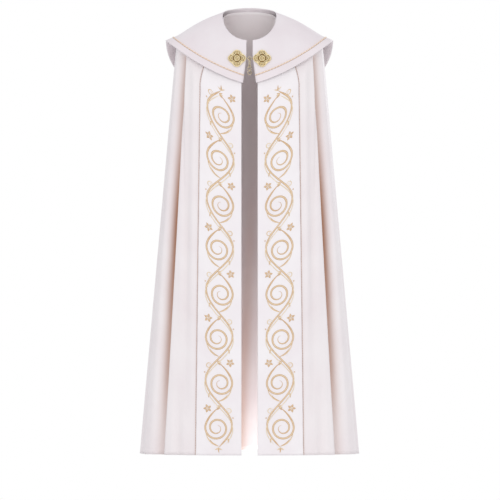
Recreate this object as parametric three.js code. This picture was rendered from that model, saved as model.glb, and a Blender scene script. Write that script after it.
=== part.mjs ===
// A cope worn on the shoulders: a half-circle cloak open down the front, a wide shoulder collar,
// two embroidered front bands, and a two-plate metal clasp with a short hanging chain.
// Millimetres, +Z up. The front faces -Y. The origin is the middle of the neck at shoulder level.
import * as THREE from "three";

// ---- Driving dimensions -------------------------------------------------------------------
const CLOAK_WALL = 2;
const COLLAR_WALL = 2;
const BAND_WALL = 1.2;
const BORDER_WALL = 1;
const GAP = 0.3;

const HEM_Z = -1388;
const FRONT_EDGE_X = 26;
const PIPING_WIDTH = 3;
const PIPING_HEIGHT = 1.6;
const PIPING_LIFT = 0.6;

// Three lines down the cloak, seen in profile. Each has its reach from the upright axis and its
// height at the neck, at the turn of the shoulder and at the hem. "ease" is how far either side of
// the turn the cloth is rounded off.
const PROFILES = {
  front: { neck: [88, -60], turn: [134, -215], hem: [192, HEM_Z], ease: 45 },
  side: { neck: [84, 28], turn: [237, -41], hem: [358.5, HEM_Z], ease: 26 },
  back: { neck: [66, 50], turn: [150, -120], hem: [300, HEM_Z], ease: 60 },
};
// How square the cloak is in plan: 2 is an ellipse. It grows from the neck to the shoulder level.
const SQUARENESS = { neck: 2, front: 2.5, back: 2.15 };

// A level is 0 at the neck edge, 1 to 2 round the shoulder and 3 at the hem.
const SHOULDER_LEVEL = 2;
const HEM_LEVEL = 3;
const CLOAK_LEVELS = [0, 0.35, 0.7, 1, 1.25, 1.5, 1.75, 2, 2.08, 2.16, 2.26, 2.36, 2.47, 2.58,
  2.69, 2.8, 2.9, 3];
const BAND_FIRST_ROW = 2;
// The levels that the fold tables name.
const STATIONS = { collar: 1.5, chest: 2.15, hip: 2.45, knee: 2.75, hem: HEM_LEVEL };

// Folds of each front half: where the trough lies, counted along the cloth from the front edge,
// its half width, and how deep it is at each station.
const FRONT_FOLDS = [
  { name: "side_trough", at: [204, 267], half: [24, 36],
    depth: { collar: 2, chest: 18, hip: 34, knee: 28, hem: 20 } },
  { name: "soft_trough", at: [180, 184], half: [22, 30],
    depth: { collar: 0, chest: 3, hip: 6, knee: 4, hem: 0 } },
  { name: "hem_trough", at: [204, 209], half: [18, 24],
    depth: { collar: 0, chest: 0, hip: 0, knee: 2, hem: 6 } },
  { name: "beside_arm", at: [300, 455], half: [34, 62],
    depth: { collar: 0, chest: 6, hip: 15, knee: 20, hem: 24 } },
];
// Folds of the back, placed by their share of the way from the middle of the back (0) towards the
// front edges (-1 on the wearer's right, 1 on the left).
const BACK_FOLDS = [
  { name: "right_outer", share: [-0.41, -0.39], half: [36, 60],
    depth: { collar: 0, chest: 9, hip: 20, knee: 27, hem: 31 } },
  { name: "right_inner", share: [-0.21, -0.235], half: [30, 52],
    depth: { collar: 0, chest: 5, hip: 14, knee: 21, hem: 25 } },
  { name: "middle", share: [0.03, -0.04], half: [34, 56],
    depth: { collar: 0, chest: 8, hip: 22, knee: 29, hem: 33 } },
  { name: "left_inner", share: [0.2, 0.17], half: [26, 46],
    depth: { collar: 0, chest: 3, hip: 10, knee: 18, hem: 22 } },
  { name: "left_outer", share: [0.39, 0.37], half: [34, 58],
    depth: { collar: 0, chest: 8, hip: 19, knee: 26, hem: 29 } },
];

// Lines down the cloak that its columns of facets follow, counted from the front edge at the
// shoulder and at the hem. "columns" is how many lie between a line and the one before it.
const BAND_EDGE = [135, 148];
const TROUGH_LINE = FRONT_FOLDS[0].at;
const TROUGH_SIDE = [30, 40];
const GUIDES = [
  { name: "front_edge", at: [0, 0], columns: 0 },
  { name: "band_edge", at: BAND_EDGE, columns: 5 },
  { name: "trough_inner", at: TROUGH_LINE.map((at, end) => at - TROUGH_SIDE[end]), columns: 2 },
  { name: "trough_bottom", at: TROUGH_LINE, columns: 3 },
  { name: "trough_outer", at: TROUGH_LINE.map((at, end) => at + TROUGH_SIDE[end]), columns: 3 },
];
const BAND_COLUMNS = GUIDES[1].columns;
// The side seam's share of the way from the front edge to the middle of the back.
const SEAM_SHARE = 0.53;
const SIDE_COLUMNS = 7;
const BACK_COLUMNS = 34;

// The collar: its neck edge, its turn over the shoulder blades and its lower edge, each by reach
// and height at the front, the shoulder tip and the middle of the back. The front has no turn.
const COLLAR_NECK = { front: [91, -49], side: [87, 36], back: [68, 63] };
const COLLAR_TURN = { side: [240, -32.6], back: [163, -104] };
const COLLAR_HEM = { front: [135, -194], side: [272, -47], back: [178, -236] };
const COLLAR_SQUARENESS = { neck: 2, front: 2.32, back: 2.2 };
const COLLAR_EASE = 26;
const COLLAR_FRONT_DIP = 1;
// How far the collar stands up over the shoulder between its neck edge and its turn, and how round
// its lower edge is in front: 0 runs straight down to the point and 1 hangs as a full curve.
const COLLAR_SHOULDER_RISE = 12;
const COLLAR_HEM_ROUND = 0.34;
const COLLAR_EDGE_X = { top: 10, bottom: 21, straight_share: 0.4 };
const COLLAR_ROWS = 4;
const COLLAR_FRONT_COLUMNS = 14;
const COLLAR_BACK_COLUMNS = 12;
const BORDER_WIDTH = 24.5;

// The clasp.
const CLASP_Z = -109.5;
const PLATE_SIZE = 60;
const PLATE_X = 40.6;
const PLATE_THICK = 2.6;
const PLATE_LIFT = 1.8;
const PLATE_STEPS = 56;
// Shares of the plate's half width: its outline between two lobes, and its holes' places and radii.
const PLATE_WAIST = 0.79;
const LOBE_HOLE = { at: 0.7, radius: 0.11 };
const SIDE_HOLE = { at: 0.48, radius: 0.13 };
const WIRE = 0.85;
const WIRE_SIDES = 6;

// ---- Small sums ---------------------------------------------------------------------------
const mix = (a, b, t) => a + (b - a) * t;
const clamp01 = (t) => Math.min(1, Math.max(0, t));
const smooth = (t) => t * t * (3 - 2 * t);

// ---- The cloak's smooth form --------------------------------------------------------------
// Reach and height of one profile at a level.
function profileAt(level, { neck, turn, hem, ease }) {
  const down = new THREE.Vector2(turn[0] - neck[0], turn[1] - neck[1]).normalize();
  const fall = new THREE.Vector2(hem[0] - turn[0], hem[1] - turn[1]).normalize();
  const start = new THREE.Vector2(...turn).addScaledVector(down, -ease);
  const end = new THREE.Vector2(...turn).addScaledVector(fall, ease);
  if (level <= 1) return new THREE.Vector2(...neck).lerp(start, level);
  if (level >= 2) return end.lerp(new THREE.Vector2(...hem), level - 2);
  const t = level - 1;
  return start.multiplyScalar((1 - t) ** 2)
    .addScaledVector(new THREE.Vector2(...turn), 2 * t * (1 - t))
    .addScaledVector(end, t * t);
}

// One half ring in plan, from the front edge to the middle of the back, with its running length.
const ringCache = new Map();
const RING_STEPS = 240;
function ringAt(level) {
  if (ringCache.has(level)) return ringCache.get(level);
  const [front, side, back] = ["front", "side", "back"].map((k) => profileAt(level, PROFILES[k]));
  const spread = Math.min(level / SHOULDER_LEVEL, 1);
  const squareFront = mix(SQUARENESS.neck, SQUARENESS.front, spread);
  const squareBack = mix(SQUARENESS.neck, SQUARENESS.back, spread);
  const points = [];
  for (let i = 0; i <= RING_STEPS; i++) {
    const turn = (Math.PI * i) / RING_STEPS;
    const [sin, cos] = [Math.sin(turn), Math.cos(turn)];
    const power = 2 / (cos >= 0 ? squareFront : squareBack);
    const reach = cos >= 0 ? -front.x : back.x;
    const shoulderDrop = cos >= 0 ? cos ** 2 : (cos ** 2 - cos) / 2;
    const drop = mix(Math.abs(cos), shoulderDrop, Math.min(level, 1));
    const z = mix(side.y, cos >= 0 ? front.y : back.y, drop);
    points.push(new THREE.Vector3(side.x * sin ** power, reach * Math.abs(cos) ** power, z));
  }
  const lengths = [0];
  for (let i = 1; i <= RING_STEPS; i++) {
    const [a, b] = [points[i - 1], points[i]];
    lengths.push(lengths[i - 1] + Math.hypot(b.x - a.x, b.y - a.y));
  }
  const first = points.findIndex((p) => p.x >= FRONT_EDGE_X);
  const share = (FRONT_EDGE_X - points[first - 1].x) / (points[first].x - points[first - 1].x);
  const start = mix(lengths[first - 1], lengths[first], share);
  const ring = { points, lengths, start, length: lengths[RING_STEPS] - start };
  ringCache.set(level, ring);
  return ring;
}

function alongRing(ring, along) {
  const target = ring.start + along;
  let i = ring.lengths.findIndex((length) => length >= target);
  if (i < 1) i = i === 0 ? 1 : RING_STEPS;
  const share = (target - ring.lengths[i - 1]) / (ring.lengths[i] - ring.lengths[i - 1]);
  return ring.points[i - 1].clone().lerp(ring.points[i], share);
}

// ---- Folds --------------------------------------------------------------------------------
function depthAt(level, depth) {
  const names = Object.keys(STATIONS);
  if (level <= STATIONS.collar) return depth.collar * smooth(clamp01(level - 0.5));
  for (let i = 1; i < names.length; i++) {
    const [from, to] = [STATIONS[names[i - 1]], STATIONS[names[i]]];
    if (level <= to) {
      return mix(depth[names[i - 1]], depth[names[i]], smooth((level - from) / (to - from)));
    }
  }
  return depth.hem;
}

// How far a level is from the shoulder to the hem; above the shoulder, lines close in on the neck.
const fallShare = (level) => clamp01(level - SHOULDER_LEVEL);
function guideAt(level, [atShoulder, atHem]) {
  const closing = Math.min(1, ringAt(level).length / ringAt(SHOULDER_LEVEL).length);
  return level >= SHOULDER_LEVEL ? mix(atShoulder, atHem, fallShare(level)) : atShoulder * closing;
}

const trough = (away, half) =>
  Math.abs(away) >= half ? 0 : (1 + Math.cos((Math.PI * away) / half)) / 2;

function foldDepth(level, along, side) {
  const { length } = ringAt(level);
  const share = fallShare(level);
  let depth = 0;
  for (const fold of FRONT_FOLDS) {
    const half = mix(...fold.half, share);
    depth += depthAt(level, fold.depth) * trough(along - guideAt(level, fold.at), half);
  }
  for (const fold of BACK_FOLDS) {
    const half = mix(...fold.half, share);
    const away = side * (length - along) - mix(...fold.share, share) * length;
    depth += depthAt(level, fold.depth) * trough(away, half);
  }
  return depth;
}

// A point of the cloak's outer face, on the wearer's left (side 1) or right (side -1).
function cloakFace(level, along, side) {
  const ring = ringAt(level);
  const step = 0.5;
  const point = alongRing(ring, along);
  const before = alongRing(ring, Math.max(along - step, -step));
  const after = alongRing(ring, Math.min(along + step, ring.length));
  const out = new THREE.Vector2(after.y - before.y, before.x - after.x).normalize();
  const depth = foldDepth(level, along, side);
  return new THREE.Vector3(side * (point.x - out.x * depth), point.y - out.y * depth, point.z);
}

// The cloak's outer face moved out (or, below 0, in) square to the cloth.
function cloakPoint(level, along, side, lift) {
  const upper = Math.max(level - 0.01, 0);
  const lower = Math.min(level + 0.01, HEM_LEVEL);
  const down = cloakFace(lower, along, side).sub(cloakFace(upper, along, side));
  const across = cloakFace(level, along + 1, side).sub(cloakFace(level, along - 1, side));
  const out = across.cross(down).multiplyScalar(-side).normalize();
  return cloakFace(level, along, side).addScaledVector(out, lift);
}

// ---- Closed walls -------------------------------------------------------------------------
// A closed wall between two grids of points, outer and inner, each rows by columns.
function wall(outer, inner) {
  const rows = outer.length;
  const cols = outer[0].length;
  const points = [...outer.flat(), ...inner.flat()];
  const at = (layer, r, c) => layer * rows * cols + r * cols + c;
  const faces = [];
  const quad = (a, b, c, d) => faces.push(a, b, c, a, c, d);
  for (let r = 0; r + 1 < rows; r++) {
    for (let c = 0; c + 1 < cols; c++) {
      quad(at(0, r, c), at(0, r + 1, c), at(0, r + 1, c + 1), at(0, r, c + 1));
      faces.push(at(1, r, c), at(1, r + 1, c + 1), at(1, r + 1, c));
      faces.push(at(1, r, c), at(1, r, c + 1), at(1, r + 1, c + 1));
    }
  }
  for (let r = 0; r + 1 < rows; r++) {
    quad(at(0, r, 0), at(1, r, 0), at(1, r + 1, 0), at(0, r + 1, 0));
    quad(at(0, r + 1, cols - 1), at(1, r + 1, cols - 1), at(1, r, cols - 1), at(0, r, cols - 1));
  }
  for (let c = 0; c + 1 < cols; c++) {
    quad(at(0, 0, c + 1), at(1, 0, c + 1), at(1, 0, c), at(0, 0, c));
    quad(at(0, rows - 1, c), at(1, rows - 1, c), at(1, rows - 1, c + 1), at(0, rows - 1, c + 1));
  }
  return facingOut(points, faces);
}

// A geometry whose faces point out, whichever way round its grid was.
function facingOut(points, faces) {
  let volume = 0;
  for (let i = 0; i < faces.length; i += 3) {
    const [a, b, c] = [points[faces[i]], points[faces[i + 1]], points[faces[i + 2]]];
    volume += a.dot(new THREE.Vector3().crossVectors(b, c));
  }
  const geometry = new THREE.BufferGeometry().setFromPoints(points);
  geometry.setIndex(volume < 0 ? faces.slice().reverse() : faces);
  return geometry;
}

function wallOf(rows, columns, pointAt, outerLift, innerLift) {
  const grid = (lift) => rows.map((row) => columns.map((column) => pointAt(row, column, lift)));
  return wall(grid(outerLift), grid(innerLift));
}

// ---- Cloth pieces -------------------------------------------------------------------------
// Columns of a front panel as functions of the level, so that they follow the guides.
function frontColumns() {
  const columns = [() => 0];
  for (let g = 1; g < GUIDES.length; g++) {
    for (let i = 1; i <= GUIDES[g].columns; i++) {
      const share = i / GUIDES[g].columns;
      const [before, after] = [GUIDES[g - 1].at, GUIDES[g].at];
      columns.push((level) => mix(guideAt(level, before), guideAt(level, after), share));
    }
  }
  const last = GUIDES[GUIDES.length - 1].at;
  for (let i = 1; i <= SIDE_COLUMNS; i++) {
    const seam = (level) => ringAt(level).length * SEAM_SHARE - (i === SIDE_COLUMNS ? GAP / 2 : 0);
    columns.push((level) => mix(guideAt(level, last), seam(level), i / SIDE_COLUMNS));
  }
  return columns;
}

function frontPanel(side) {
  const pointAt = (level, column, lift) => cloakPoint(level, column(level), side, lift);
  return wallOf(CLOAK_LEVELS, frontColumns(), pointAt, 0, -CLOAK_WALL);
}

function backPanel() {
  const columns = Array.from({ length: BACK_COLUMNS + 1 }, (_, i) => (2 * i) / BACK_COLUMNS - 1);
  const pointAt = (level, column, lift) => {
    const { length } = ringAt(level);
    const fromMiddle = Math.abs(column) * (length * (1 - SEAM_SHARE) - GAP / 2);
    return cloakPoint(level, length - fromMiddle, column < 0 ? -1 : 1, lift);
  };
  return wallOf(CLOAK_LEVELS, columns, pointAt, 0, -CLOAK_WALL);
}

function frontBand(side) {
  const columns = frontColumns().slice(0, BAND_COLUMNS + 1);
  const pointAt = (level, column, lift) => cloakPoint(level, column(level), side, lift);
  const levels = CLOAK_LEVELS.slice(BAND_FIRST_ROW);
  return wallOf(levels, columns, pointAt, GAP + BAND_WALL, GAP);
}

function bandPiping(side) {
  const columns = [GAP, GAP + PIPING_WIDTH];
  const pointAt = (level, column, lift) =>
    cloakPoint(level, guideAt(level, BAND_EDGE) + column, side, lift);
  const levels = CLOAK_LEVELS.slice(BAND_FIRST_ROW);
  return wallOf(levels, columns, pointAt, PIPING_LIFT + PIPING_HEIGHT, PIPING_LIFT);
}

// ---- The collar ---------------------------------------------------------------------------
function collarRingPoint(turn, { front, side, back }, square, z) {
  const [sin, cos] = [Math.sin(turn), Math.cos(turn)];
  const power = 2 / square;
  const reach = cos >= 0 ? -front[0] : back[0];
  return new THREE.Vector3(side[0] * Math.abs(sin) ** power, reach * Math.abs(cos) ** power, z);
}

// The neck edge dips in front as a tilted oval and rises evenly to the middle of the back.
function collarNeckPoint(turn) {
  const { front, side, back } = COLLAR_NECK;
  const rise = -Math.cos(turn);
  const z = rise <= 0
    ? mix(side[1], front[1], -rise) - COLLAR_FRONT_DIP * Math.sin(2 * turn)
    : mix(side[1], back[1], rise + 0.9 * rise * (1 - rise) ** 2);
  return collarRingPoint(turn, COLLAR_NECK, COLLAR_SQUARENESS.neck, z);
}

function collarHemPoint(turn) {
  const { front, side, back } = COLLAR_HEM;
  const [sin, cos] = [Math.sin(turn), Math.cos(turn)];
  const fall = mix(1 - sin, cos ** 2, COLLAR_HEM_ROUND);
  const z = cos >= 0 ? mix(side[1], front[1], fall) : mix(side[1], back[1], -cos);
  const square = cos >= 0 ? COLLAR_SQUARENESS.front : COLLAR_SQUARENESS.back;
  return collarRingPoint(turn, COLLAR_HEM, square, z);
}

// The share of the straight line from the shoulder's neck edge to its tip that the turn lies at.
const TURN_SHARE = (COLLAR_TURN.side[0] - COLLAR_NECK.side[0])
  / (COLLAR_HEM.side[0] - COLLAR_NECK.side[0]);

function collarTurnPoint(turn) {
  const cos = Math.cos(turn);
  if (cos >= 0) return collarNeckPoint(turn).lerp(collarHemPoint(turn), TURN_SHARE);
  const { side, back } = COLLAR_TURN;
  const z = mix(side[1], back[1], (cos ** 2 - cos) / 2);
  return collarRingPoint(turn, { ...COLLAR_TURN, front: back }, COLLAR_SQUARENESS.back, z);
}

// A point of the collar's outer face: share 0 is the neck edge, 1 the lower edge.
const RISE_PEAK = 0.4 * 0.6 ** 1.5;
function collarFace(share, turn, side) {
  const [neck, corner, hem] = [collarNeckPoint(turn), collarTurnPoint(turn), collarHemPoint(turn)];
  const upper = neck.distanceTo(corner);
  const lower = corner.distanceTo(hem);
  const ease = Math.min(COLLAR_EASE, lower * 0.9);
  const start = corner.clone().lerp(neck, ease / upper);
  const end = corner.clone().lerp(hem, ease / lower);
  const down = share * (upper + lower);
  let point;
  if (down <= upper - ease) {
    point = neck.lerp(start, down / (upper - ease));
  } else if (down >= upper + ease) {
    point = end.lerp(hem, (down - upper - ease) / (lower - ease));
  } else {
    const t = (down - upper + ease) / (2 * ease);
    point = start.multiplyScalar((1 - t) ** 2).addScaledVector(corner, 2 * t * (1 - t))
      .addScaledVector(end, t ** 2);
  }
  const shoulder = Math.min(down / upper, 1);
  const swell = (shoulder * (1 - shoulder) ** 1.5) / RISE_PEAK;
  point.z += COLLAR_SHOULDER_RISE * swell * Math.sin(turn) ** 4;
  point.x *= side;
  return point;
}

// Where the collar's front edge lies, as a turn about the neck.
function collarEdgeTurn(share) {
  const { top, bottom, straight_share: straight } = COLLAR_EDGE_X;
  const x = mix(top, bottom, Math.max(0, (share - straight) / (1 - straight)));
  let turn = 0.1;
  for (let i = 0; i < 12; i++) turn *= x / collarFace(share, turn, 1).x;
  return turn;
}

function collarPoint(share, column, side, lift) {
  const edge = collarEdgeTurn(share);
  const turn = column <= 1 ? mix(edge, Math.PI / 2, column) : mix(Math.PI / 2, Math.PI, column - 1);
  const step = 0.002;
  const down = collarFace(Math.min(share + step, 1), turn, side)
    .sub(collarFace(Math.max(share - step, 0), turn, side));
  const across = collarFace(share, Math.min(turn + step, Math.PI + step), side)
    .sub(collarFace(share, turn - step, side));
  const out = across.cross(down).multiplyScalar(-side).normalize();
  return collarFace(share, turn, side).addScaledVector(out, lift);
}

// Columns run from the right front edge (-2) over the back (0) to the left front edge (2).
function collarColumns() {
  const half = [];
  for (let i = 0; i <= COLLAR_FRONT_COLUMNS; i++) half.push(i / COLLAR_FRONT_COLUMNS);
  for (let i = 1; i <= COLLAR_BACK_COLUMNS; i++) half.push(1 + i / COLLAR_BACK_COLUMNS);
  const right = half.map((column) => ({ column, side: -1 }));
  const left = half.slice(0, -1).reverse().map((column) => ({ column, side: 1 }));
  return [...right, ...left];
}

// The share of the way down at which a strip of the given width starts above the lower edge.
function shareAbove(width, { column }) {
  const turn = column <= 1 ? mix(collarEdgeTurn(1), Math.PI / 2, column) : (Math.PI / 2) * column;
  const corner = collarTurnPoint(turn);
  const length = collarNeckPoint(turn).distanceTo(corner) + corner.distanceTo(collarHemPoint(turn));
  return 1 - width / length;
}

// Rows of the collar from its neck edge to the piping, the border and the lower edge.
function collarRows() {
  const abovePiping = (at) => shareAbove(BORDER_WIDTH + PIPING_WIDTH + GAP, at);
  const rows = [];
  for (let i = 0; i <= COLLAR_ROWS; i++) rows.push((at) => (abovePiping(at) * i) / COLLAR_ROWS);
  rows.push((at) => shareAbove(BORDER_WIDTH + GAP, at));
  rows.push((at) => shareAbove(BORDER_WIDTH, at));
  rows.push(() => 1);
  return rows;
}
const collarGridPoint = (row, at, lift) => collarPoint(row(at), at.column, at.side, lift);

function collarCloth() {
  return wallOf(collarRows(), collarColumns(), collarGridPoint, 0, -COLLAR_WALL);
}
function collarBorder() {
  const rows = collarRows().slice(-2);
  return wallOf(rows, collarColumns(), collarGridPoint, GAP + BORDER_WALL, GAP);
}
function collarPiping() {
  const rows = collarRows().slice(-4, -2);
  const lifts = [PIPING_LIFT + PIPING_HEIGHT, PIPING_LIFT];
  return wallOf(rows, collarColumns(), collarGridPoint, ...lifts);
}

// ---- The clasp ----------------------------------------------------------------------------
// An openwork plate: a square standing on its corner, its corners rounded into four lobes and its
// sides a little hollow, with a hole in each lobe and one behind the middle of each side.
function claspPlate() {
  const half = PLATE_SIZE / 2;
  const outline = [];
  for (let i = 0; i < PLATE_STEPS; i++) {
    const angle = (2 * Math.PI * i) / PLATE_STEPS;
    const reach = half * mix(PLATE_WAIST, 1, Math.cos(2 * angle) ** 2);
    outline.push(new THREE.Vector2(reach * Math.cos(angle), reach * Math.sin(angle)));
  }
  const shape = new THREE.Shape(outline);
  for (let i = 0; i < 8; i++) {
    const { at, radius } = i % 2 ? SIDE_HOLE : LOBE_HOLE;
    const angle = (Math.PI / 4) * i;
    const hole = new THREE.Path();
    const [x, y] = [half * at * Math.cos(angle), half * at * Math.sin(angle)];
    hole.absarc(x, y, half * radius, 0, 2 * Math.PI, true);
    shape.holes.push(hole);
  }
  const settings = { depth: PLATE_THICK, bevelEnabled: false, curveSegments: 7 };
  return new THREE.ExtrudeGeometry(shape, settings);
}

// Puts a plate's flat back on the collar, turned to lie on it.
function placeOnCollar(mesh, side) {
  // Steps from a guess to the place on the collar that has the plate's X and Z.
  let share = 0.42;
  let turn = 0.3;
  for (let i = 0; i < 40; i++) {
    const point = collarFace(share, turn, side);
    share += (point.z - CLASP_Z) / 200;
    turn += (PLATE_X - side * point.x) / 400;
  }
  const step = 0.01;
  const point = collarFace(share, turn, side);
  const down = collarFace(share + step, turn, side).sub(collarFace(share - step, turn, side));
  const across = collarFace(share, turn + step, side).sub(collarFace(share, turn - step, side));
  const out = across.cross(down).multiplyScalar(-side).normalize();
  const right = new THREE.Vector3(0, 0, 1).cross(out).normalize();
  const up = out.clone().cross(right);
  mesh.quaternion.setFromRotationMatrix(new THREE.Matrix4().makeBasis(right, up, out));
  mesh.position.copy(point).addScaledVector(out, PLATE_LIFT);
}

const roundSection = (radius, sides) => {
  const points = Array.from({ length: sides }, (_, i) => {
    const angle = (2 * Math.PI * i) / sides;
    return new THREE.Vector2(radius * Math.cos(angle), radius * Math.sin(angle));
  });
  return new THREE.Shape(points);
};

// A closed chain link: a wire ring stretched by "length" between its two round ends, upright,
// turned about Z by "turn".
function link(radius, length, turn, segments = 20) {
  const torus = new THREE.TorusGeometry(radius, WIRE, WIRE_SIDES, segments);
  const position = torus.attributes.position;
  for (let i = 0; i < position.count; i++) {
    const y = position.getY(i);
    position.setY(i, y + Math.sign(Math.round(y * 1000)) * length / 2);
  }
  torus.rotateX(Math.PI / 2);
  torus.rotateZ(turn);
  return torus;
}

// The hook: a wire bent in the level plane, from its plate's tip round one side of the ring.
function hook(tipX) {
  const route = new THREE.CatmullRomCurve3([
    new THREE.Vector3(tipX, 0, 0),
    new THREE.Vector3(-8.4, -1.9, 0),
    new THREE.Vector3(-5.4, -3, 0),
    new THREE.Vector3(-2.9, -1.9, 0),
    new THREE.Vector3(-2.6, 0.8, 0),
    new THREE.Vector3(-4.6, 2.9, 0),
    new THREE.Vector3(-7.2, 2.5, 0),
  ]);
  const settings = { steps: 18, bevelEnabled: false, extrudePath: route };
  return new THREE.ExtrudeGeometry(roundSection(WIRE, WIRE_SIDES), settings);
}

const RING_RADIUS = 5.6;
const EYE_RADIUS = 3.4;
// Each link hangs from the one before it: the radius of its round ends, its straight length, how it
// is turned, and the body it belongs to.
const REACH_IN = 2 * WIRE + 0.5;
const CHAIN = [
  { name: "chain_long_link", radius: 3.4, length: 13, turn: 1.05 },
  { name: "chain_joining_link_1", radius: 3.4, length: 1.5, turn: -0.6 },
  { name: "chain_ring_1", radius: 5.8, length: 0, turn: 0.15 },
  { name: "chain_joining_link_2", radius: 3.2, length: 0, turn: 1.4 },
  { name: "chain_ring_2", radius: 5.8, length: 0, turn: -0.1 },
];

// ---- Assembly -----------------------------------------------------------------------------
const cloth = (color) =>
  new THREE.MeshStandardMaterial({ color, roughness: 0.6, metalness: 0, side: THREE.DoubleSide });
const gold = (color) => new THREE.MeshStandardMaterial({ color, roughness: 0.3, metalness: 1 });
const part = new THREE.Group();

function add(name, geometry, material, parent = part) {
  const mesh = new THREE.Mesh(geometry, material);
  mesh.name = name;
  parent.add(mesh);
  return mesh;
}

const SIDES = [["right", -1], ["left", 1]];
for (const [word, side] of SIDES) {
  add(`cloak_front_${word}`, frontPanel(side), cloth(0xe8dedf));
  add(`front_band_${word}`, frontBand(side), cloth(0xeeeaea));
  add(`band_piping_${word}`, bandPiping(side), cloth(0xd9c0b4));
}
add("cloak_back", backPanel(), cloth(0xe8dedf));
add("collar", collarCloth(), cloth(0xe8e2e4));
add("collar_border", collarBorder(), cloth(0xeadfe2));
add("collar_piping", collarPiping(), cloth(0xf3dcc4));

const plates = SIDES.map(([word, side]) => {
  const plate = add(`clasp_plate_${word}`, claspPlate(), gold(0xc8a85a));
  placeOnCollar(plate, side);
  return plate;
});

// The plates' inner tips, in the middle of their thickness, are where the hook and the eye start.
const tip = new THREE.Vector3(-PLATE_SIZE / 2, 0, PLATE_THICK / 2);
plates[1].updateMatrixWorld();
plates[1].localToWorld(tip);
const fastening = new THREE.Group();
fastening.position.set(0, tip.y, tip.z);
part.add(fastening);
add("clasp_hook", hook(-(tip.x - 2 * GAP)), gold(0xb9a878), fastening);
add("clasp_ring", link(RING_RADIUS, 0, 0), gold(0xb9a878), fastening);
const eye = add("clasp_eye", link(EYE_RADIUS, 0, 0), gold(0xb9a878), fastening);
eye.rotation.x = Math.PI / 2;
eye.position.x = tip.x - GAP - EYE_RADIUS - WIRE;

let hangsFrom = -RING_RADIUS;
for (const { name, radius, length, turn } of CHAIN) {
  const middle = hangsFrom + REACH_IN - radius - length / 2;
  add(name, link(radius, length, turn), gold(0xb9a878), fastening).position.z = middle;
  hangsFrom = middle - radius - length / 2;
}

export default part;
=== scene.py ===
"""A cope as it hangs when worn: satin cloak, embroidered front bands, shoulder collar and clasp.

Lengths are in millimetres in the tables and sums below, and turned to metres when a mesh is made.
+Z is up, the front faces -Y and +X is the wearer's left.
"""
import math

import bmesh
import bpy
import numpy as np
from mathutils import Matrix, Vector


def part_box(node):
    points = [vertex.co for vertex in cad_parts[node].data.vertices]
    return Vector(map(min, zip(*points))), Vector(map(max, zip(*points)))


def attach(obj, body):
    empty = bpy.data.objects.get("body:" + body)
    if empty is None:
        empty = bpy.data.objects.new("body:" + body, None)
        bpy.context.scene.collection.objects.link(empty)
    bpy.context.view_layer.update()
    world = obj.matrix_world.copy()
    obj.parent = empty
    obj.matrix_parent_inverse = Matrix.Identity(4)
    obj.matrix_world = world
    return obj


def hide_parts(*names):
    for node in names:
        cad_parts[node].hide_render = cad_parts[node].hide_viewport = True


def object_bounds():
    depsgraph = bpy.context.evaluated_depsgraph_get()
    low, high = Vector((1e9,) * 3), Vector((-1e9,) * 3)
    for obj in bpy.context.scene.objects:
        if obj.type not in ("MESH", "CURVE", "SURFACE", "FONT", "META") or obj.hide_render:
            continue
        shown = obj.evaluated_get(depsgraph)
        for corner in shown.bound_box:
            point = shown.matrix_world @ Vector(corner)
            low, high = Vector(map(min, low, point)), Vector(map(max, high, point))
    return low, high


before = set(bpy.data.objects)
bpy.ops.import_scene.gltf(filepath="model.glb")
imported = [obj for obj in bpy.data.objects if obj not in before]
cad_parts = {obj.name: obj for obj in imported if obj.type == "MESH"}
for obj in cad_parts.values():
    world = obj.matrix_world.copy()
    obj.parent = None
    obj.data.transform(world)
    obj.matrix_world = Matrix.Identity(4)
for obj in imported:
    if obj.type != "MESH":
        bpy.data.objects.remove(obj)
cad_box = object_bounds()
MM = 0.001


def node_box(node):
    """Lowest and highest corners of a solid, in mm."""
    low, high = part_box(node)
    return np.array(low) / MM, np.array(high) / MM


# ---- Camera, floor and light ----
COPE_LOW, COPE_HIGH = (np.array(c) for c in cad_box)
COPE_HEIGHT = COPE_HIGH[2] - COPE_LOW[2]
VIEW_HEIGHT = COPE_HEIGHT * 1.121
VIEW_MIDDLE_Z = COPE_LOW[2] + COPE_HEIGHT * 0.455
LENS = 350
SENSOR = 36
FLOOR_DROP = 0.2
FLOOR_HALF = 0.9
CAMERA_ASIDE = 0.0015


def place_camera():
    data = bpy.data.cameras.new("camera")
    data.lens = LENS
    data.sensor_width = SENSOR
    data.clip_end = 100
    camera = bpy.data.objects.new("camera", data)
    away = VIEW_HEIGHT * LENS / SENSOR
    camera.location = (CAMERA_ASIDE, -away, VIEW_MIDDLE_Z)
    camera.rotation_euler = (math.radians(90), 0, 0)
    bpy.context.scene.collection.objects.link(camera)
    bpy.context.scene.camera = camera


def area_light(name, place, aim, size, watts, tint):
    data = bpy.data.lights.new(name, "AREA")
    data.shape = "RECTANGLE"
    data.size, data.size_y = size
    data.energy = watts
    data.color = tint
    lamp = bpy.data.objects.new(name, data)
    lamp.location = place
    lamp.rotation_euler = (Vector(aim) - Vector(place)).to_track_quat("-Z", "Y").to_euler()
    bpy.context.scene.collection.objects.link(lamp)


def light_studio():
    aim = (0, 0, -0.7)
    for name, x in (("key_left", -1.7), ("key_right", 1.7)):
        area_light(name, (x, -4.4, 0.7), aim, (1.8, 2.8), 30, (1, 0.975, 0.965))
    area_light("behind", (2.7, 3.2, 1.0), aim, (1.6, 2.2), 34, (0.98, 0.98, 1))
    area_light("under_hem", (0, 0.06, COPE_LOW[2] - 0.16), (0, 0.06, 0), (0.5, 0.34), 1.3,
               (1, 0.98, 0.97))


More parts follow.
